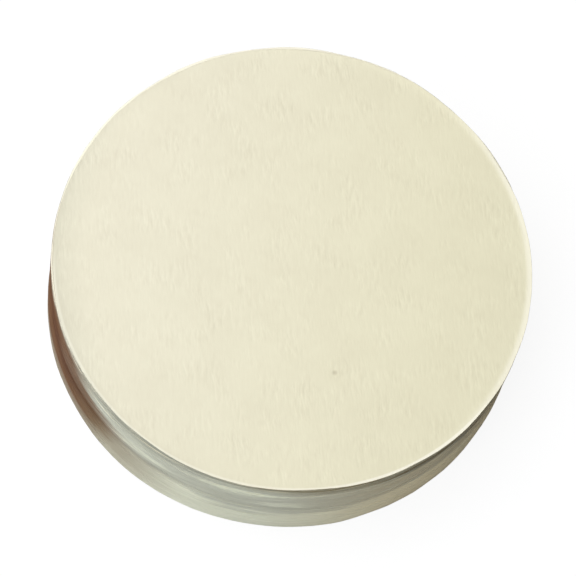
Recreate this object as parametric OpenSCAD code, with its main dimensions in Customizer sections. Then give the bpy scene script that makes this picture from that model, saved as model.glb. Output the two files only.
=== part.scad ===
// A neat stack of round filter papers: flat loose discs, die cut to one size, lying one on another.
// The stack stands on its lowest disc, with the origin under the middle of its outline.

/* [Disc] */
// Diameter of one disc
disc_d = 90; // [40:1:150]
// Thickness of the paper
paper_t = 0.2; // [0.12:0.01:0.4]
// Width of the bevel that the cutting die leaves on both edges of a disc
cut_bevel = 0.04; // [0.01:0.01:0.1]

/* [Stack] */
// Number of discs, with the top one
disc_count = 100; // [10:1:200]
// Air left between two discs
air_gap = 0.01; // [0.005:0.005:0.05]
// How far the stack leans, from its lowest disc to its highest
lean = 0.5; // [0:0.05:2]
// Direction of the lean, turning from +X towards +Y
lean_dir = 15; // [0:5:355]
// How far a handful of discs sits off the leaning line
handful_shift = 0.1; // [0:0.05:1]
// Furthest that one disc sits off its handful, along X and along Y
disc_shift = 0.05; // [0:0.01:0.3]
// How far the top disc sits off the leaning line, so that its edge hangs over the discs below
top_overhang = 0.25; // [0:0.05:1]
// Direction of that overhang, turning from +X towards +Y
overhang_dir = 300; // [0:5:355]

/* [Hidden] */
$fn = 180;
paper_colour = [0.92, 0.9, 0.81];
edge_colour = [0.82, 0.82, 0.75];
shuffle_seed = 11;

// Handfuls from the bottom up: the share of the height where each ends, the direction in which it
// sits off the leaning line, and how much of handful_shift it takes
handfuls = [
    [0.08, 180, 0.5],
    [0.30, 250, 0.4],
    [0.47, 280, 1.0],
    [0.55, 100, 0.6],
    [0.66, 250, 1.8],
    [0.82, 274, 1.0],
    [0.90, 90, 0.3],
    [0.99, overhang_dir + 180, 2.2],
    [1.00, overhang_dir, 0],
];

pitch = paper_t + air_gap;
last = disc_count - 1;
bevel = min(cut_bevel, paper_t * 0.4);
shuffle = rands(-disc_shift, disc_shift, 2 * disc_count, shuffle_seed);

function toward(distance, direction) = distance * [cos(direction), sin(direction)];

function handful_of(i) = [for (h = handfuls) if (i + 0.5 < h[0] * disc_count) h][0];

function lean_at(i) = toward(lean * i / last, lean_dir);

function handful_at(i) = toward(handful_shift * handful_of(i)[2], handful_of(i)[1]);

function shuffle_at(i) = [shuffle[2 * i], shuffle[2 * i + 1]];

function overhang_at(i) = toward(i == last ? top_overhang : 0, overhang_dir);

function middle(values) = (min(values) + max(values)) / 2;

// Where each disc's centre lies, before and after the outline is centred on the origin
loose = [for (i = [0 : last]) lean_at(i) + handful_at(i) + shuffle_at(i) + overhang_at(i)];
outline_middle = [middle([for (p = loose) p.x]), middle([for (p = loose) p.y])];
centres = [for (p = loose) p - outline_middle];

// Half section of one disc, with both cut edges bevelled
module disc_section() {
    r = disc_d / 2;
    polygon([
        [0, 0],
        [r - bevel, 0],
        [r, bevel],
        [r, paper_t - bevel],
        [r - bevel, paper_t],
        [0, paper_t],
    ]);
}

// Disc number i, counted from the bottom
module disc(i) {
    translate([centres[i].x, centres[i].y, i * pitch])
        rotate_extrude()
            disc_section();
}

module top_disc() {
    color(paper_colour)
        disc(last);
}

module disc_stack() {
    color(edge_colour)
        for (i = [0 : last - 1])
            disc(i);
}

top_disc();
disc_stack();
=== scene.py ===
"""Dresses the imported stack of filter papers: paper faces, cut edges, studio stage and camera."""

import math
from collections import namedtuple

import bpy
import numpy as np
from bpy.props import FloatProperty, FloatVectorProperty, IntProperty, PointerProperty
from mathutils import Color, Matrix, Vector, noise


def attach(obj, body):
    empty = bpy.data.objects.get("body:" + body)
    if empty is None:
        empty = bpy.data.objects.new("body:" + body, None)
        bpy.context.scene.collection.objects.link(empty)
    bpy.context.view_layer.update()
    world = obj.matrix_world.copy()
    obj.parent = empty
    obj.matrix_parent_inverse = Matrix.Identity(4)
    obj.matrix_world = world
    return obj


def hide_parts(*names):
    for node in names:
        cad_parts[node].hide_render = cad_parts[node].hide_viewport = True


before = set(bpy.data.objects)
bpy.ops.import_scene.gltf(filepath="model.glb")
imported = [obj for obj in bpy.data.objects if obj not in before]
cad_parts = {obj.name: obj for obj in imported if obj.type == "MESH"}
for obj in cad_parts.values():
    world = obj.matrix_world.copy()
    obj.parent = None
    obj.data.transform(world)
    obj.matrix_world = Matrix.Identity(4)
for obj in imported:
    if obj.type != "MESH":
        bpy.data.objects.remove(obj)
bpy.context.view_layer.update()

bl_info = {
    "name": "Filter paper stack",
    "version": (1, 0, 0),
    "blender": (4, 5, 0),
    "location": "View3D > Sidebar > Papers",
    "description": "Builds the papers of a stack of round filter papers, with their stage",
    "category": "Object",
}

BODY = "root"
MM = 0.001
DISPLAY_WHITE = 255
FRONT = math.radians(-90)

# The papers' materials, in their order on a mesh, and the share of bare face that a ledge shows
FACE, EDGE, LEDGE = 0, 1, 2
FINISHES = ("paper_face", "cut_edge", "ledge")
LEDGE_BARE = 0.6

# Rings of points that make the cut edge of a sheet
EDGE_RINGS = 4

# Sockets of a Mix node that carry colours
COLOUR_A, COLOUR_B, COLOUR_OUT = 6, 7, 2

Disc = namedtuple("Disc", "x y low high radius")
Ring = namedtuple("Ring", "reach upper inset rim")
Fibres = namedtuple("Fibres", "streaks tooth clouds patches")
Side = namedtuple("Side", "tree finish z turn tones streaks broad fuzz")
Patch = namedtuple("Patch", "turn half_turn height half_height strength")

# Patches of the side: bearing from the brown patch and half width in degrees, height and half height in mm
PALE_PATCHES = (
    Patch(31.0, 8.0, 14.2, 1.4, 0.5),
    # Painted highlight of papers that stick out a little and catch the light
    Patch(57.0, 12.0, 17.2, 1.3, 0.9),
    Patch(68.0, 6.0, 13.0, 1.5, 0.6),
)
DARK_PATCHES = (
    Patch(32.0, 14.0, 11.3, 1.3, 0.35),
)
# Paler patches of the uppermost papers
TOP_PALE_PATCHES = (
    Patch(1.0, 18.0, 20.7, 1.5, 0.8),
    Patch(105.0, 13.0, 20.7, 1.1, 0.6),
)


# Properties

def length(name, text, value):
    """A size in metres."""
    return FloatProperty(name=name, description=text, default=value, unit="LENGTH", precision=5)


def angle(name, text, degrees):
    """An angle, written in degrees."""
    return FloatProperty(name=name, description=text, default=math.radians(degrees), unit="ROTATION")


def share(name, text, value):
    """A plain factor."""
    return FloatProperty(name=name, description=text, default=value, subtype="FACTOR", min=0, soft_max=1)


def colour(name, text, red, green, blue):
    """A colour as it should look, in display values from 0 to DISPLAY_WHITE."""
    shown = (red / DISPLAY_WHITE, green / DISPLAY_WHITE, blue / DISPLAY_WHITE)
    return FloatVectorProperty(
        name=name, description=text, default=shown, subtype="COLOR_GAMMA", size=3, min=0, max=1)


class SheetShape(bpy.types.PropertyGroup):
    """How the sheets depart from flat round discs."""

    segments: IntProperty(name="Segments", description="Corners round a sheet's rim", default=150)
    bevel: length("Cut bevel", "Width of the bevel on both edges of a sheet", 0.04 * MM)
    shoulder: length("Shoulder", "Width of the rim that the die presses down", 0.3 * MM)
    pinch: length("Pinch", "Most that the pressed rim is thinner, on each side", 0.05 * MM)
    wander: length("Wander", "Most that a cut edge lies inside the true circle", 0.24 * MM)
    bundle: IntProperty(
        name="Bundle", description="Sheets that were cut together and share their bulges", default=7)
    lift: length("Lift", "How far the top sheet's rim curls up at one place", 0.60 * MM)
    lift_dir: angle("Lift direction", "Where the top sheet curls most, from +X towards +Y", 288)
    lift_focus: FloatProperty(name="Lift focus", description="How narrow the curled place is", default=50)
    lift_fade: share("Lift fade", "Part of the curl that the next sheet down has", 0.55)
    swell: length("Swell", "Height of the top sheet's long waves", 0.06 * MM)
    lip: length("Lip", "How far the top sheet's rim turns up all round", 0.20 * MM)
    lip_width: length("Lip width", "Width of the rim that turns up", 1.8 * MM)
    top_seed: IntProperty(
        name="Top seed", description="Chooses the bulges of the top sheet's rim", default=4284)


class PaperFinish(bpy.types.PropertyGroup):
    """Colours and grain of the paper."""

    face: colour("Face", "Paper face", 238, 232, 209)
    face_dark: colour("Face, thin places", "Paper face where the fibres lie thin", 229, 222, 199)
    face_yellowed: colour("Face, yellowed", "Tint of the face on its yellowed right", 255, 255, 246)
    # Painted shade on the face next to its rim on the left, where the upturned rim faces away from the lamp
    face_left_shade: colour("Face, dulled", "Tint of the face next to its rim on the left", 247, 248, 248)
    left_shade_dir: angle("Dull direction", "Middle of the dulled part, from +X towards +Y", 192)
    # Pale rim colour: partly pressed fibres, partly a painted highlight where the curled rim catches the
    # light
    rim: colour("Rim", "Pressed rim of a face", 254, 249, 230)
    rim_dir: angle("Rim direction", "Middle of the wide pale rim of the face, from +X towards +Y", 10)
    trim_dir: angle("Trim direction", "Middle of the narrow pale rim of the face, from +X towards +Y", 265)
    speck: colour("Speck", "Stray dark fibre in the face", 176, 164, 138)
    speck_x: length("Speck X", "Where the stray fibre lies, along X", 11.8 * MM)
    speck_y: length("Speck Y", "Where the stray fibre lies, along Y", -19.9 * MM)
    edge_high: colour("Edge, upper papers", "Cut edges of the upper papers", 220, 221, 206)
    edge_low: colour("Edge, lower papers", "Cut edges of the lower papers", 249, 250, 230)
    edge_dark: colour("Edge, shaded", "Cut edges that lie back", 150, 149, 134)
    # Painted warm shade over the cut edges on the right
    edge_warm_shade: colour("Edge, warm", "Tint of the cut edges on the right", 255, 242, 226)
    # Painted shadow under the top paper's rim, on the papers next to the top
    edge_rim_shadow: colour("Edge, grubby", "Cut edges next to the top", 140, 128, 98)
    # Painted shadow deep under the overhanging top paper
    edge_overhang_shadow: colour("Edge, hidden", "Cut edges that lie deep under the top paper", 72, 57, 34)
    ledge: colour("Ledge", "Bare rims of papers that stick out under others", 236, 234, 216)
    # Brown patch on the cut edges on the left, darkest in its middle and fading out to the right
    brown_patch: colour("Stain", "Browned cut edges on the left", 116, 76, 47)
    brown_patch_dark: colour("Stain, dark", "Darkest part of the browned edges", 96, 55, 32)
    brown_patch_end: colour("Stain, right end", "Browned edges where they fade out on the right", 130, 107, 77)
    brown_patch_amount: share("Stain amount", "How strongly the browned edges show", 0.95)
    brown_patch_dir: angle("Stain direction", "Middle of the browned part, from +X towards +Y", 212)
    grain_dir: angle("Grain direction", "Way that the fibres run, from +Y towards -X", 13.0)
    grain_width: length("Grain width", "Width of one fibre streak", 0.75 * MM)
    grain_length: length("Grain length", "Length of one fibre streak", 2.4 * MM)
    relief: length("Relief", "Height of the fibre streaks", 0.095 * MM)
    cloud_size: length("Cloud size", "Size of the cloudy patches in the sheet", 9 * MM)


class StageSetup(bpy.types.PropertyGroup):
    """Camera, lamps and floor."""

    elevation: angle("Elevation", "Camera's height above the horizon", 66.79)
    roll: angle("Roll", "How far the camera is turned about its own line of sight", 11.56)
    distance: length("Distance", "From the camera to the middle of the top face", 585 * MM)
    aside: length("Aside", "How far the top face's middle lies right of the line of sight", 1.04 * MM)
    above: length("Above", "How far the top face's middle lies above the line of sight", 4.45 * MM)
    lens: FloatProperty(name="Lens", description="Focal length in mm, on a 36 mm sensor", default=195.95)
    key_power: FloatProperty(name="Key power", description="Main lamp, in watts", default=2.02)
    key_azimuth: angle("Key azimuth", "Main lamp's direction, from +X towards +Y", 166)
    key_elevation: angle("Key elevation", "Main lamp's height above the floor", 67.5)
    key_distance: length("Key distance", "From the main lamp to the stack", 0.46)
    key_size: length("Key size", "Width of the main lamp", 0.5)
    key_tint: colour("Key tint", "Colour of the main lamp", 255, 255, 255)
    fill_power: FloatProperty(name="Fill power", description="Second lamp, in watts", default=4.0)
    fill_azimuth: angle("Fill azimuth", "Second lamp's direction, from +X towards +Y", 245)
    fill_elevation: angle("Fill elevation", "Second lamp's height above the floor", 32)
    fill_distance: length("Fill distance", "From the second lamp to the stack", 1.0)
    fill_size: length("Fill size", "Width of the second lamp", 0.6)
    fill_tint: colour("Fill tint", "Colour of the second lamp", 238, 247, 255)
    sky: share("Sky", "Light that comes from all round", 0.13)
    floor_bounce: colour("Floor bounce", "Floor colour that lights the stack", 208, 200, 187)
    floor_glow: share("Floor glow", "Brightness that the floor keeps in full shadow", 0.905)
    floor_shade: share("Floor shade", "Part of the floor's brightness that a shadow takes away", 0.13)


GROUPS = {"sheet_shape": SheetShape, "paper_finish": PaperFinish, "stage_setup": StageSetup}


# Shader nodes

class Wire:
    """An output socket that takes part in Python arithmetic."""

    def __init__(self, tree, socket):
        self.tree = tree
        self.socket = socket

    def out(self, key):
        """Another output of the same node."""
        return Wire(self.tree, self.socket.node.outputs[key])

    def math(self, operation, *terms):
        """A Math node on any values and wires."""
        return self.tree.add("ShaderNodeMath", {"operation": operation}, dict(enumerate(terms)))

    def __add__(self, other):
        return self.math("ADD", self, other)

    def __sub__(self, other):
        return self.math("SUBTRACT", self, other)

    def __rsub__(self, other):
        return self.math("SUBTRACT", other, self)

    def __mul__(self, other):
        return self.math("MULTIPLY", self, other)

    def __truediv__(self, other):
        return self.math("DIVIDE", self, other)

    __radd__ = __add__
    __rmul__ = __mul__

    def size(self):
        """The value without its sign."""
        return self.math("ABSOLUTE", self)

    def most(self, other):
        """The greater of two values."""
        return self.math("MAXIMUM", self, other)

    def between(self, low, high):
        """0 as far as low, 1 from high on, and a smooth step in between. Low may be the greater one."""
        settings = {"interpolation_type": "SMOOTHSTEP"}
        sockets = {"Value": self, "From Min": low, "From Max": high}
        return self.tree.add("ShaderNodeMapRange", settings, sockets)

    def near(self, full, gone):
        """1 as far as full on both sides of 0, and 0 from gone on."""
        return 1.0 - self.size().between(full, gone)

    def within(self, rise, fall):
        """Rises from 0 to 1 over one range and falls back to 0 over another."""
        return self.between(*rise) * (1.0 - self.between(*fall))


class NodeTree:
    """Adds nodes to the tree of a material or a world."""

    def __init__(self, owner):
        owner.use_nodes = True
        self.owner = owner
        self.nodes = owner.node_tree.nodes
        self.links = owner.node_tree.links
        self.nodes.clear()

    def add(self, kind, settings=None, sockets=None):
        """A new node: its settings first, then the values or links of its sockets."""
        node = self.nodes.new(kind)
        for name, value in (settings or {}).items():
            setattr(node, name, value)
        for name, value in (sockets or {}).items():
            if isinstance(value, Wire):
                self.links.new(value.socket, node.inputs[name])
            else:
                node.inputs[name].default_value = value
        return Wire(self, node.outputs[0]) if node.outputs else None

    def mix(self, factor, first, second, blend="MIX"):
        """A colour between two colours."""
        settings = {"data_type": "RGBA", "blend_type": blend}
        sockets = {"Factor": factor, COLOUR_A: first, COLOUR_B: second}
        return self.add("ShaderNodeMix", settings, sockets).out(COLOUR_OUT)

    def scaled(self, place, x, y, z):
        """A place with its three numbers multiplied."""
        return self.add("ShaderNodeVectorMath", {"operation": "MULTIPLY"}, {0: place, 1: (x, y, z)})

    def turned(self, place, radians):
        """A place turned about Z."""
        sockets = {"Vector": place, "Angle": radians}
        return self.add("ShaderNodeVectorRotate", {"rotation_type": "Z_AXIS"}, sockets)

    def noise(self, place, detail=2.0, roughness=0.5):
        """Soft noise about 0, with features about one unit of place wide."""
        sockets = {"Vector": place, "Scale": 1.0, "Detail": detail, "Roughness": roughness}
        return self.add("ShaderNodeTexNoise", {}, sockets) - 0.5

    def axes(self, place):
        """The three numbers of a place."""
        split = self.add("ShaderNodeSeparateXYZ", {}, {0: place})
        return [split.out(axis) for axis in "XYZ"]

    def distance(self, place, point):
        """How far a place lies from a point."""
        gap = self.add("ShaderNodeVectorMath", {"operation": "DISTANCE"}, {0: place, 1: point})
        return gap.out("Value")

    def bearing(self, place, zero):
        """Direction of a place about Z in degrees, from -180 to 180, counted from the direction zero."""
        x, y, _ = self.axes(self.turned(place, -zero))
        return y.math("ARCTAN2", y, x) * math.degrees(1.0)

    def place(self):
        """Where a point of the piece lies, in millimetres."""
        metres = self.add("ShaderNodeTexCoord").out("Object")
        return self.scaled(metres, 1 / MM, 1 / MM, 1 / MM)

    def bump(self, height, relief, strength):
        """Small relief of a surface, as a normal."""
        sockets = {"Strength": strength, "Distance": relief, "Height": height}
        return self.add("ShaderNodeBump", {}, sockets)

    def matt(self, base, roughness, gloss, bump):
        """Ends the tree in a plain matt surface."""
        sockets = {"Base Color": base, "Roughness": roughness, "Specular IOR Level": gloss, "Normal": bump}
        return self.surface(self.add("ShaderNodeBsdfPrincipled", {}, sockets))

    def surface(self, shader, kind="ShaderNodeOutputMaterial"):
        """Ends the tree in a shader."""
        self.add(kind, {}, {"Surface": shader})
        return self.owner


def linear(shown):
    """Display colour to the linear colour, with alpha, that a socket takes."""
    return (*Color(shown).from_srgb_to_scene_linear(), 1.0)


def settings_of(group):
    """The scene's values of a property group."""
    return getattr(bpy.context.scene, group)


# Materials

def face_fibres(tree, place, finish):
    """Noises of a paper face: fibre streaks, finer tooth, clouds, and patches where the streaks show most."""
    tooth_across = 2.2
    tooth_along = 2.0
    cloud_roughness = 0.6
    patch_pace = 1.6
    patch_pace_down = 5.0
    patch_range = (-0.12, 0.22)
    along = tree.turned(place, -finish.grain_dir)
    width = MM / finish.grain_width
    long = MM / finish.grain_length
    streaks = tree.noise(tree.scaled(along, width, long, 1.0), detail=1.0)
    tooth = tree.noise(tree.scaled(along, tooth_across * width, tooth_along * long, 1.0), detail=2.0)
    cloud = MM / finish.cloud_size
    clouds = tree.noise(tree.scaled(place, cloud, cloud, cloud), detail=3.0, roughness=cloud_roughness)
    pace = patch_pace * cloud
    patches = tree.noise(tree.scaled(place, pace, pace, patch_pace_down), detail=1.0)
    return Fibres(streaks, tooth, clouds, patches.between(*patch_range))


def face_colour(tree, place, fibres, radius, finish):
    """Paper that is darker where its fibres lie thin, and yellower towards the right."""
    mean_thinness = 0.42
    streaks_everywhere = 0.30
    streaks_in_patches = 0.85
    tooth_part = 0.1
    cloud_part = 0.8
    streak_part = streaks_everywhere + streaks_in_patches * fibres.patches
    thin = mean_thinness + fibres.streaks * streak_part
    thin = thin + fibres.tooth * tooth_part + fibres.clouds * cloud_part
    base = tree.mix(thin.between(0.0, 1.0), linear(finish.face), linear(finish.face_dark))
    yellowed = tree.axes(place)[0].between(-radius, radius)
    return tree.mix(yellowed, base, linear(finish.face_yellowed), "MULTIPLY")


def with_speck(tree, flat, base, finish):
    """Adds the one small dark fibre that shows in the face."""
    fade = (0.7, 0.1)
    strength = 0.45
    point = (finish.speck_x / MM, finish.speck_y / MM, 0.0)
    speck = tree.distance(flat, point).between(*fade)
    return tree.mix(speck * strength, base, linear(finish.speck))


def with_rim(tree, flat, base, disc, finish):
    """Adds the tones next to a rim: painted shade on the left, where the upturned rim faces away from the
    lamp, and a pale rim widely on one side and narrowly in front, partly pressed fibres and partly painted
    highlight.

    Widths are in mm inside the top paper's rim, reaches in degrees to both sides of a direction. Past that
    rim lie the bare rims of the papers below, which are painted pale all round, partly as a highlight."""
    left_shade_width = (7.0, 0.4)
    left_shade_reach = (15.0, 45.0)
    wide_width = (1.6, 0.6)
    wide_reach = (25.0, 55.0)
    wide_strength = 0.6
    narrow_width = (0.8, 0.45)
    narrow_reach = (65.0, 80.0)
    narrow_strength = 0.55
    narrow_gain = 0.4
    narrow_gain_range = (0.0, 45.0)
    below_width = (0.15, -0.10)
    inside = disc.radius / MM - tree.distance(flat, (disc.x / MM, disc.y / MM, 0.0))
    # Painted shade next to the rim on the left
    left_shade = inside.between(*left_shade_width) * tree.bearing(flat, finish.left_shade_dir).near(*left_shade_reach)
    base = tree.mix(left_shade, base, linear(finish.face_left_shade), "MULTIPLY")
    # Pale rim on one side and in front: pressed fibres with a painted highlight
    wide = inside.between(*wide_width) * tree.bearing(flat, finish.rim_dir).near(*wide_reach) * wide_strength
    front = tree.bearing(flat, finish.trim_dir)
    strength = narrow_strength + narrow_gain * front.between(*narrow_gain_range)
    narrow = inside.between(*narrow_width) * front.near(*narrow_reach) * strength
    # The bare rims of the papers below get the same pale colour, partly a painted highlight
    below = inside.between(*below_width)
    return tree.mix(wide.most(narrow).most(below), base, linear(finish.rim))


def paper_face(name, disc):
    """Unglazed paper: fibre streaks in patches, cloudy places, one speck, a pale rim that is partly pressed
    fibres and partly painted highlight, and painted shade next to the rim on the left.
    """
    roughness = 0.92
    gloss = 0.15
    relief_everywhere = 0.2
    tooth_relief = 0.12
    relief_strength = 1.0
    finish = settings_of("paper_finish")
    tree = NodeTree(bpy.data.materials.new(name))
    place = tree.place()
    flat = tree.scaled(place, 1.0, 1.0, 0.0)
    fibres = face_fibres(tree, place, finish)
    base = face_colour(tree, place, fibres, disc.radius / MM, finish)
    base = with_speck(tree, flat, base, finish)
    base = with_rim(tree, flat, base, disc, finish)
    height = fibres.streaks * (relief_everywhere + fibres.patches) + fibres.tooth * tooth_relief
    return tree.matt(base, roughness, gloss, tree.bump(height, finish.relief, relief_strength))


def read_side(tree, finish):
    """What the parts of the cut edges share: height in mm, bearing in degrees from the brown patch, and
    noises.

    Every paper has a tone of its own, streaks run on over several papers, broad changes take in many
    papers, and fuzz breaks them all up. A pace is how fast a noise changes along X, Y and Z."""
    tone_pace = (0.02, 0.02, 4.6)
    streak_pace = (0.08, 0.08, 1.3)
    broad_pace = (0.03, 0.03, 0.30)
    fuzz_pace = (0.6, 0.6, 5.0)
    place = tree.place()
    z = tree.axes(place)[2]
    turn = tree.bearing(place, finish.brown_patch_dir)
    tones = tree.noise(tree.scaled(place, *tone_pace), detail=1.0)
    streaks = tree.noise(tree.scaled(place, *streak_pace), detail=2.0)
    broad = tree.noise(tree.scaled(place, *broad_pace), detail=1.0)
    fuzz = tree.noise(tree.scaled(place, *fuzz_pace), detail=2.0)
    return Side(tree, finish, z, turn, tones, streaks, broad, fuzz)


def two_shades(side):
    """The lower papers are lighter. Their wandering border with the upper ones dips near the front."""
    border = (10.8, 8.2)
    broad_wave = 4.0
    streak_wave = 2.5
    tone_wave = 2.5
    dip_turn = 64.0
    dip_reach = (6.0, 26.0)
    dip_depth = 1.8
    tone_part = 0.9
    streak_part = 0.9
    fuzz_part = 0.4
    broad_part = 0.4
    shade_range = (-0.6, 0.6)
    upper_shade = 0.42
    lower_shade_loss = 0.16
    tree, finish = side.tree, side.finish
    dip = (side.turn - dip_turn).near(*dip_reach)
    level = side.z + side.broad * broad_wave + side.streaks * streak_wave + side.tones * tone_wave
    lower = (level + dip * dip_depth).between(*border)
    base = tree.mix(lower, linear(finish.edge_high), linear(finish.edge_low))
    shade = side.tones * tone_part + side.streaks * streak_part
    shade = shade + side.fuzz * fuzz_part + side.broad * broad_part
    amount = shade.between(*shade_range) * (upper_shade - lower_shade_loss * lower)
    return tree.mix(amount, base, linear(finish.edge_dark))


def with_rim_shadow(side, base):
    """Adds painted shadow under the top paper's rim, grey in front and brown on the right, over painted warm
    shade on the right.
    """
    right_rise = (58.0, 100.0)
    right_fall = (130.0, 170.0)
    right_depth = 1.8
    front_turn = 28.0
    front_reach = (8.0, 26.0)
    front_depth = 0.8
    brown_rise = (46.0, 66.0)
    brown_gain = 0.18
    shadow_level = (18.2, 20.4)
    shadow_strength = 0.62
    shadow_rise = (-60.0, -30.0)
    shadow_fall = (125.0, 150.0)
    tree, finish, turn = side.tree, side.finish, side.turn
    right = turn.within(right_rise, right_fall)
    # Painted warm shade over the right of the cut edges
    base = tree.mix(right, base, linear(finish.edge_warm_shade), "MULTIPLY")
    front = (turn - front_turn).near(*front_reach)
    brown = turn.between(*brown_rise)
    level = side.z + side.streaks + right * right_depth + front * front_depth
    strength = (shadow_strength + brown_gain * brown) * turn.within(shadow_rise, shadow_fall)
    # Painted shadow under the top paper's rim: grey in front, brown on the right
    shadow_tone = tree.mix(brown, linear(finish.edge_dark), linear(finish.edge_rim_shadow))
    return tree.mix(level.between(*shadow_level) * strength, base, shadow_tone)


def with_overhang_shadow(side, base):
    """Adds a painted shadow line under the overhanging top paper, lower towards its right end."""
    line_turn = 98.0
    line_height = 18.0
    line_slope = 0.08
    line_width = (0.4, 1.5)
    line_rise = (86.0, 102.0)
    line_fall = (120.0, 134.0)
    strength = 0.55
    off = side.z + (side.turn - line_turn) * line_slope - line_height
    overhang_shadow = off.near(*line_width) * side.turn.within(line_rise, line_fall)
    return side.tree.mix(overhang_shadow * strength, base, linear(side.finish.edge_overhang_shadow))


def patch_cover(side, spots):
    """How far a place lies in one of the ragged patches, times that patch's strength."""
    turn_wave = 30.0
    height_wave = 1.5
    fade = (1.1, 0.1)
    total = 0.0
    for spot in spots:
        off_turn = (side.turn - spot.turn + side.tones * turn_wave) / spot.half_turn
        off_height = (side.z - spot.height + side.streaks * height_wave) / spot.half_height
        inside = (off_turn * off_turn + off_height * off_height + side.fuzz).between(*fade)
        total = total + inside * spot.strength
    return total


def brown_patch_cover(side):
    """How far a place lies in the brown patch. Only its left part reaches the top; a tail runs right."""
    cap_turn = 12.0
    cap_slope = 0.10
    cap_rise = (3.0, 18.0)
    cap_level = (14.6, 16.1)
    tone_wave = 10.0
    streak_wave = 8.0
    broad_wave = 45.0
    start_range = (-48.0, -20.0)
    end_turn = 22.0
    end_range = (-10.0, 10.0)
    bulge = 3.5
    bulge_height = 9.5
    bulge_reach = (1.5, 4.5)
    top_loss = 0.35
    top_level = (16.5, 20.0)
    notch_loss = 0.10
    notch_rise = (-6.0, 4.0)
    notch_height = 14.5
    notch_reach = (1.5, 3.0)
    tail_strength = 0.6
    tail_fall = (22.0, 48.0)
    tail_level = (9.0, 13.0)
    foot_strength = 0.7
    foot_gain = 0.3
    foot_level = (1.5, 5.0)
    z, turn = side.z, side.turn
    slope = z + (turn - cap_turn) * cap_slope
    under = 1.0 - turn.between(*cap_rise) * slope.between(*cap_level)
    ragged = side.tones * tone_wave + side.streaks * streak_wave
    end = end_turn + bulge * (z - bulge_height).near(*bulge_reach)
    start = (turn + ragged + side.broad * broad_wave).between(*start_range)
    cover = start * (1.0 - (turn - end + ragged).between(*end_range)) * under
    cover = cover * (1.0 - top_loss * (z + side.streaks).between(*top_level))
    notch = turn.between(*notch_rise) * (z - notch_height).near(*notch_reach)
    cover = cover * (1.0 - notch_loss * notch)
    tail = start * (1.0 - turn.between(*tail_fall)) * (1.0 - z.between(*tail_level)) * tail_strength
    return cover.most(tail) * (foot_strength + foot_gain * z.between(*foot_level))


def brown_patch_colour(side):
    """Brown that is darkest in the middle, higher up on the left, and fades towards the right."""
    core_reach = (8.0, 24.0)
    core_height = 10.5
    core_slope = 0.3
    core_half_height = (1.0, 4.6)
    core_strength = 0.8
    fade_rise = (2.0, 20.0)
    fade_strength = 0.7
    fade_loss = 0.4
    fade_level = (9.0, 11.5)
    tree, finish, z, turn = side.tree, side.finish, side.z, side.turn
    left = (turn * -1.0).most(0.0)
    core = turn.near(*core_reach) * (z - core_height - left * core_slope).near(*core_half_height)
    brown = tree.mix(core * core_strength + side.tones, linear(finish.brown_patch), linear(finish.brown_patch_dark))
    faded = turn.between(*fade_rise) * (fade_strength - fade_loss * z.between(*fade_level))
    return tree.mix(faded, brown, linear(finish.brown_patch_end))


def cut_edge(name, bare):
    """Cut edges of the pile: papers of two shades, streaks along the papers, a brown patch, and painted
    shadow, warm shade and highlight.

    Bare is the share of the paper's own face that shows, on the ledges of papers that stick out."""
    roughness = 0.95
    gloss = 0.1
    relief = 0.05 * MM
    relief_strength = 0.4
    far_reach = (140.0, 155.0)
    far_level = (19.4, 20.2)
    far_strength = 0.9
    finish = settings_of("paper_finish")
    tree = NodeTree(bpy.data.materials.new(name))
    side = read_side(tree, finish)
    base = two_shades(side)
    base = with_rim_shadow(side, base)
    base = with_overhang_shadow(side, base)
    base = tree.mix(bare, base, linear(finish.ledge))
    # Pale patches of the side, one of them a painted highlight
    base = tree.mix(patch_cover(side, PALE_PATCHES), base, linear(finish.edge_low))
    base = tree.mix(patch_cover(side, DARK_PATCHES), base, linear(finish.edge_dark))
    base = tree.mix(brown_patch_cover(side) * finish.brown_patch_amount, base, brown_patch_colour(side))

    # The uppermost papers are paler in two patches, and along the far side painted light covers their shade
    far = side.turn.size().between(*far_reach) * side.z.between(*far_level) * far_strength
    base = tree.mix(patch_cover(side, TOP_PALE_PATCHES).most(far), base, linear(finish.ledge))
    bump = tree.bump(side.streaks + side.fuzz, relief, relief_strength)
    return tree.matt(base, roughness, gloss, bump)


def paper_finishes():
    """The papers' materials in the order of FINISHES, made when a piece first asks for them."""
    if any(name not in bpy.data.materials for name in FINISHES):
        (top,) = read_discs("top_disc")
        paper_face(FINISHES[FACE], top)
        cut_edge(FINISHES[EDGE], 0.0)
        cut_edge(FINISHES[LEDGE], LEDGE_BARE)
    return [bpy.data.materials[name] for name in FINISHES]


def direct_ray(tree):
    """1 for what the camera sees, by itself or in gloss or glass."""
    path = tree.add("ShaderNodeLightPath")
    camera, glossy, glass = (path.out(f"Is {kind} Ray") for kind in ("Camera", "Glossy", "Transmission"))
    return camera.most(glossy).most(glass)


def floor_finish():
    """Plain floor that shows white with a soft shadow, and lights the stack like a pale bench."""
    stage = settings_of("stage_setup")
    tree = NodeTree(bpy.data.materials.new("floor_finish"))
    bounce = tree.add("ShaderNodeBsdfDiffuse", {}, {"Color": linear(stage.floor_bounce)})
    shade = stage.floor_shade
    shown = tree.add("ShaderNodeBsdfDiffuse", {}, {"Color": (shade, shade, shade, 1.0)})
    glow = tree.add("ShaderNodeEmission", {}, {"Strength": stage.floor_glow})
    white = tree.add("ShaderNodeAddShader", {}, {0: shown, 1: glow})
    return tree.surface(tree.add("ShaderNodeMixShader", {}, {0: direct_ray(tree), 1: bounce, 2: white}))


def sky_finish(world):
    """Even grey light, which shows as white."""
    stage = settings_of("stage_setup")
    tree = NodeTree(world)
    seen = direct_ray(tree)
    strength = seen + (1.0 - seen) * stage.sky
    sky = tree.add("ShaderNodeBackground", {}, {"Color": (1.0, 1.0, 1.0, 1.0), "Strength": strength})
    tree.surface(sky, "ShaderNodeOutputWorld")


# Sheets

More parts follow.
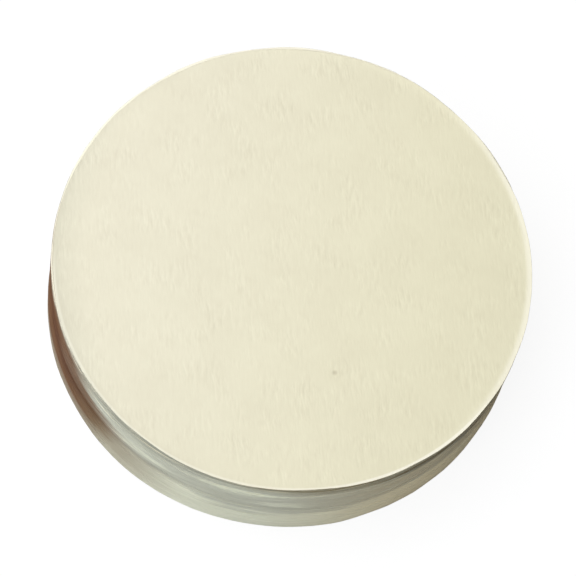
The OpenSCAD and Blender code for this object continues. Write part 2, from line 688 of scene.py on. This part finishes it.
def read_discs(node):
    """The discs of a CAD node, lowest first, from its flat faces."""
    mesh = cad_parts[node].data
    points = np.empty(len(mesh.vertices) * 3)
    mesh.vertices.foreach_get("co", points)
    points = points.reshape(-1, 3)
    corners = np.empty(len(mesh.loops), int)
    mesh.loops.foreach_get("vertex_index", corners)
    corners = corners.reshape(-1, 3)
    normals = np.empty(len(mesh.polygons) * 3)
    mesh.polygons.foreach_get("normal", normals)
    facing = normals.reshape(-1, 3)[:, 2]
    heights = points[corners].mean(axis=1)[:, 2]
    micron = 1e-6
    level_enough = 0.99

    def levels(side):
        flat = side * facing > level_enough
        steps = np.round(heights[flat] / micron).astype(int)
        return [(step * micron, corners[flat][steps == step].ravel()) for step in np.unique(steps)]

    discs = []
    for (low, _), (high, chosen) in zip(levels(-1), levels(1)):
        face = points[chosen][:, :2]
        middle = (face.min(axis=0) + face.max(axis=0)) / 2
        level = (points[:, 2] > low - micron) & (points[:, 2] < high + micron)
        reach = np.hypot(*(points[level][:, :2] - middle).T)
        discs.append(Disc(middle[0], middle[1], low, high, reach.max()))
    return discs


def ripple(turn, layer, pace, seed):
    """Smooth noise round a rim, from -1 to 1.

    Pace sets how quickly it changes round the rim, and layer moves it from sheet to sheet."""
    return noise.noise((pace * math.cos(turn), pace * math.sin(turn), layer + seed))


def curl(shape, depth, turn, away, radius):
    """How far a sheet lifts off, depth sheets below the top, at a distance from its middle."""
    lift_power = 6
    swell_power = 2
    lip_power = 2
    wave_pace = 2.0
    wave_seed = 40.0
    reach = min(1.0, away / radius)
    upturned = max(0.0, 1 - (radius - away) / shape.lip_width) ** lip_power
    aim = 0.5 + 0.5 * math.cos(turn - shape.lift_dir)
    rim = aim ** shape.lift_focus
    waves = 0.5 + 0.5 * ripple(turn, 0.0, wave_pace * reach, wave_seed)
    lifted = shape.lift * rim * reach ** lift_power
    lifted += shape.swell * waves * reach ** swell_power
    lifted += shape.lip * upturned
    return lifted * shape.lift_fade ** depth


def inset_at(shape, turn, number):
    """How far a sheet's cut edge lies inside the true circle: bulges of its bundle, and its own nicks."""
    bundle_step = 1.7
    bulge_pace = 4.5
    bulge_seed = 0.0
    sheet_step = 0.9
    nick_pace = 12.0
    nick_seed = 9.0
    mean_part = 0.45
    bulge_part = 0.9
    nick_part = 0.35
    bulge = ripple(turn, number // shape.bundle * bundle_step, bulge_pace, bulge_seed)
    nick = ripple(turn, number * sheet_step, nick_pace, nick_seed)
    return shape.wander * min(1.0, max(0.0, mean_part + bulge_part * bulge + nick_part * nick))


def sheet_rings(shape, disc, number, depth, inner):
    """Rings of one sheet, from its underside round the cut edge to its upper face.

    A ring has its reach as a share of the radius, 1 for the upper side, how far a bevel sets it in, and
    1 where it belongs to the cut edge."""
    sheet_step = 0.45
    upper_step = 0.3
    press_pace = 4.0
    press_seed = 20.0
    turns = [2 * math.pi * k / shape.segments for k in range(shape.segments)]
    flat = [*inner, 1 - shape.shoulder / disc.radius]
    profile = [Ring(reach, 0, 0.0, 0.0) for reach in flat]
    profile += [Ring(1.0, 0, inset, 1.0) for inset in (shape.bevel, 0.0)]
    profile += [Ring(1.0, 1, inset, 1.0) for inset in (0.0, shape.bevel)]
    profile += [Ring(reach, 1, 0.0, 0.0) for reach in reversed(flat)]
    thick = disc.high - disc.low
    rings = []
    for reach, upper, inset, rim in profile:
        layer = number * sheet_step + upper * upper_step
        corner = shape.bevel if rim and not inset else 0.0
        ring = []
        for turn in turns:
            tight = max(0.0, ripple(turn, layer, press_pace, press_seed))
            away = disc.radius * reach - rim * (inset + inset_at(shape, turn, number))
            squeeze = rim * shape.pinch * tight
            rise = thick - squeeze - corner if upper else squeeze + corner
            rise += curl(shape, depth, turn, away, disc.radius)
            ring.append((disc.x + away * math.cos(turn), disc.y + away * math.sin(turn), disc.low + rise))
        rings.append(ring)
    return rings


def mean_point(ring):
    """Middle of a ring of points."""
    return tuple(sum(axis) / len(ring) for axis in zip(*ring))


def sheet_mesh(name, sheets, materials):
    """One mesh of closed sheets, each given by its rings and by the material of its pressed rims."""
    points, faces, kinds, creases = [], [], [], {}
    for rings, rim_kind in sheets:
        first = len(points)
        count = len(rings[0])
        for ring in rings:
            points += ring
        low, high = len(points), len(points) + 1
        points += [mean_point(rings[0]), mean_point(rings[-1])]
        last = first + (len(rings) - 1) * count
        flat = (len(rings) - EDGE_RINGS) // 2

        # The first and last rings of the cut edge are creases, and a pressed rim lies outside each
        for r in (flat, flat + EDGE_RINGS - 1):
            creases.update((first + r * count + k, first + r) for k in range(count))
        kind_of = {-1: rim_kind, 0: EDGE, 1: EDGE, 2: EDGE, 3: rim_kind}
        for k in range(count):
            n = (k + 1) % count
            faces.append((low, first + n, first + k))
            faces.append((last + k, last + n, high))
            kinds += [FACE, FACE]
            for r in range(len(rings) - 1):
                a, b = first + r * count, first + (r + 1) * count
                faces.append((a + k, a + n, b + n, b + k))
                kinds.append(kind_of.get(r - flat, FACE))
    mesh = bpy.data.meshes.new(name)
    mesh.from_pydata(points, [], faces)
    mesh.polygons.foreach_set("material_index", kinds)
    mesh.polygons.foreach_set("use_smooth", [True] * len(faces))
    ends = [edge.vertices for edge in mesh.edges]
    sharp = [a in creases and creases[a] == creases.get(b) for a, b in ends]
    mesh.edges.foreach_set("use_edge_sharp", sharp)
    for material in materials:
        mesh.materials.append(material)
    mesh.update()
    return mesh


def add_piece(mesh, node):
    """Puts a finished mesh in the scene in place of a CAD node."""
    piece = bpy.data.objects.new(mesh.name, mesh)
    bpy.context.scene.collection.objects.link(piece)
    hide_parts(node)
    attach(piece, BODY)


class PAPERS_OT_top_disc(bpy.types.Operator):
    """Make the top paper, with its fibrous face and slightly curled rim"""

    bl_idname = "papers.top_disc"
    bl_label = "Top disc"

    def execute(self, context):
        face_rings = 24
        lip_rings = (1.0, 0.75, 0.5, 0.3)
        shape = settings_of("sheet_shape")
        (disc,) = read_discs("top_disc")
        inner = [k / face_rings for k in range(1, face_rings)]
        inner += [1 - part * shape.lip_width / disc.radius for part in lip_rings]
        inner.sort()
        rings = sheet_rings(shape, disc, shape.top_seed, 0, inner)
        mesh = sheet_mesh("top_paper", [(rings, FACE)], paper_finishes()[:LEDGE])
        add_piece(mesh, "top_disc")
        return {"FINISHED"}


class PAPERS_OT_disc_stack(bpy.types.Operator):
    """Make the papers under the top one, each a closed sheet with its own cut edge"""

    bl_idname = "papers.disc_stack"
    bl_label = "Disc stack"

    def execute(self, context):
        curled_papers = 6
        curl_rings = (0.5, 0.7, 0.8, 0.9)
        face_rimmed_papers = 10
        shape = settings_of("sheet_shape")
        discs = read_discs("disc_stack")
        sheets = []
        for number, disc in enumerate(discs):
            depth = len(discs) - number
            inner = [*curl_rings, 1 - shape.lip_width / disc.radius] if depth < curled_papers else []
            rim_kind = FACE if depth < face_rimmed_papers else LEDGE
            sheets.append((sheet_rings(shape, disc, number, depth, inner), rim_kind))
        mesh = sheet_mesh("stacked_papers", sheets, paper_finishes())
        add_piece(mesh, "disc_stack")
        return {"FINISHED"}


# Stage

def aimed(place, target):
    """A matrix at place that looks at target along its own -Z."""
    turn = (target - place).to_track_quat("-Z", "Y").to_matrix().to_4x4()
    return Matrix.Translation(place) @ turn


def direction(azimuth, elevation):
    """Unit vector towards an azimuth, from +X towards +Y, and a height above the floor."""
    flat = math.cos(elevation)
    return Vector((flat * math.cos(azimuth), flat * math.sin(azimuth), math.sin(elevation)))


def make_camera(stage, target):
    """A camera in front of the stack, rolled about its line of sight."""
    sensor_mm = 36.0
    farthest = 20.0
    camera = bpy.data.cameras.new("camera")
    camera.lens = stage.lens
    camera.sensor_width = sensor_mm
    camera.clip_end = farthest
    ahead = -direction(FRONT, stage.elevation)
    level = Vector((1.0, 0.0, 0.0))
    upright = level.cross(ahead)
    right = level * math.cos(stage.roll) + upright * math.sin(stage.roll)
    up = right.cross(ahead)
    eye = target - ahead * stage.distance - right * stage.aside - up * stage.above
    holder = bpy.data.objects.new("camera", camera)
    turn = Matrix((right, up, -ahead)).transposed().to_4x4()
    holder.matrix_world = Matrix.Translation(eye) @ turn
    bpy.context.scene.collection.objects.link(holder)
    bpy.context.scene.camera = holder


def make_lamp(stage, name, target):
    """A round soft lamp, set by the stage's values that start with its name."""
    keys = ("power", "azimuth", "elevation", "distance", "size", "tint")
    power, azimuth, elevation, distance, size, tint = (getattr(stage, f"{name}_{key}") for key in keys)
    lamp = bpy.data.lights.new(name, "AREA")
    lamp.energy = power
    lamp.color = linear(tint)[:3]
    lamp.shape = "DISK"
    lamp.size = size
    holder = bpy.data.objects.new(name, lamp)
    holder.matrix_world = aimed(target + direction(azimuth, elevation) * distance, target)
    bpy.context.scene.collection.objects.link(holder)


def make_floor():
    """A wide plain floor under the stack."""
    reach = 4.0
    mesh = bpy.data.meshes.new("floor")
    corners = [(-reach, -reach, 0.0), (reach, -reach, 0.0), (reach, reach, 0.0), (-reach, reach, 0.0)]
    mesh.from_pydata(corners, [], [(0, 1, 2, 3)])
    mesh.materials.append(floor_finish())
    floor = bpy.data.objects.new("floor", mesh)
    bpy.context.scene.collection.objects.link(floor)


class PAPERS_OT_stage(bpy.types.Operator):
    """Make the floor, the lamps and the camera"""

    bl_idname = "papers.stage"
    bl_label = "Stage"

    def execute(self, context):
        stage = settings_of("stage_setup")
        scene = context.scene
        (disc,) = read_discs("top_disc")
        target = Vector((disc.x, disc.y, disc.high))
        make_camera(stage, target)
        make_lamp(stage, "key", target)
        make_lamp(stage, "fill", target)
        make_floor()
        scene.world = bpy.data.worlds.new("sky")
        sky_finish(scene.world)
        scene.view_settings.view_transform = "Standard"
        return {"FINISHED"}


class PAPERS_PT_panel(bpy.types.Panel):
    """Lists the steps and what they can be changed by"""

    bl_label = "Filter paper stack"
    bl_idname = "PAPERS_PT_panel"
    bl_space_type = "VIEW_3D"
    bl_region_type = "UI"
    bl_category = "Papers"

    def draw(self, context):
        for step in STEPS:
            self.layout.operator(step.bl_idname)
        for name, group in GROUPS.items():
            box = self.layout.box()
            for key in group.__annotations__:
                box.prop(getattr(context.scene, name), key)


STEPS = (PAPERS_OT_top_disc, PAPERS_OT_disc_stack, PAPERS_OT_stage)
CLASSES = (*GROUPS.values(), *STEPS, PAPERS_PT_panel)


def register():
    for cls in CLASSES:
        bpy.utils.register_class(cls)
    for name, group in GROUPS.items():
        setattr(bpy.types.Scene, name, PointerProperty(type=group))


def unregister():
    for name in GROUPS:
        delattr(bpy.types.Scene, name)
    for cls in reversed(CLASSES):
        bpy.utils.unregister_class(cls)


def main():
    """Makes the pieces and the stage."""
    register()
    bpy.ops.papers.top_disc()
    bpy.ops.papers.disc_stack()
    bpy.ops.papers.stage()


if __name__ == "__main__":
    main()
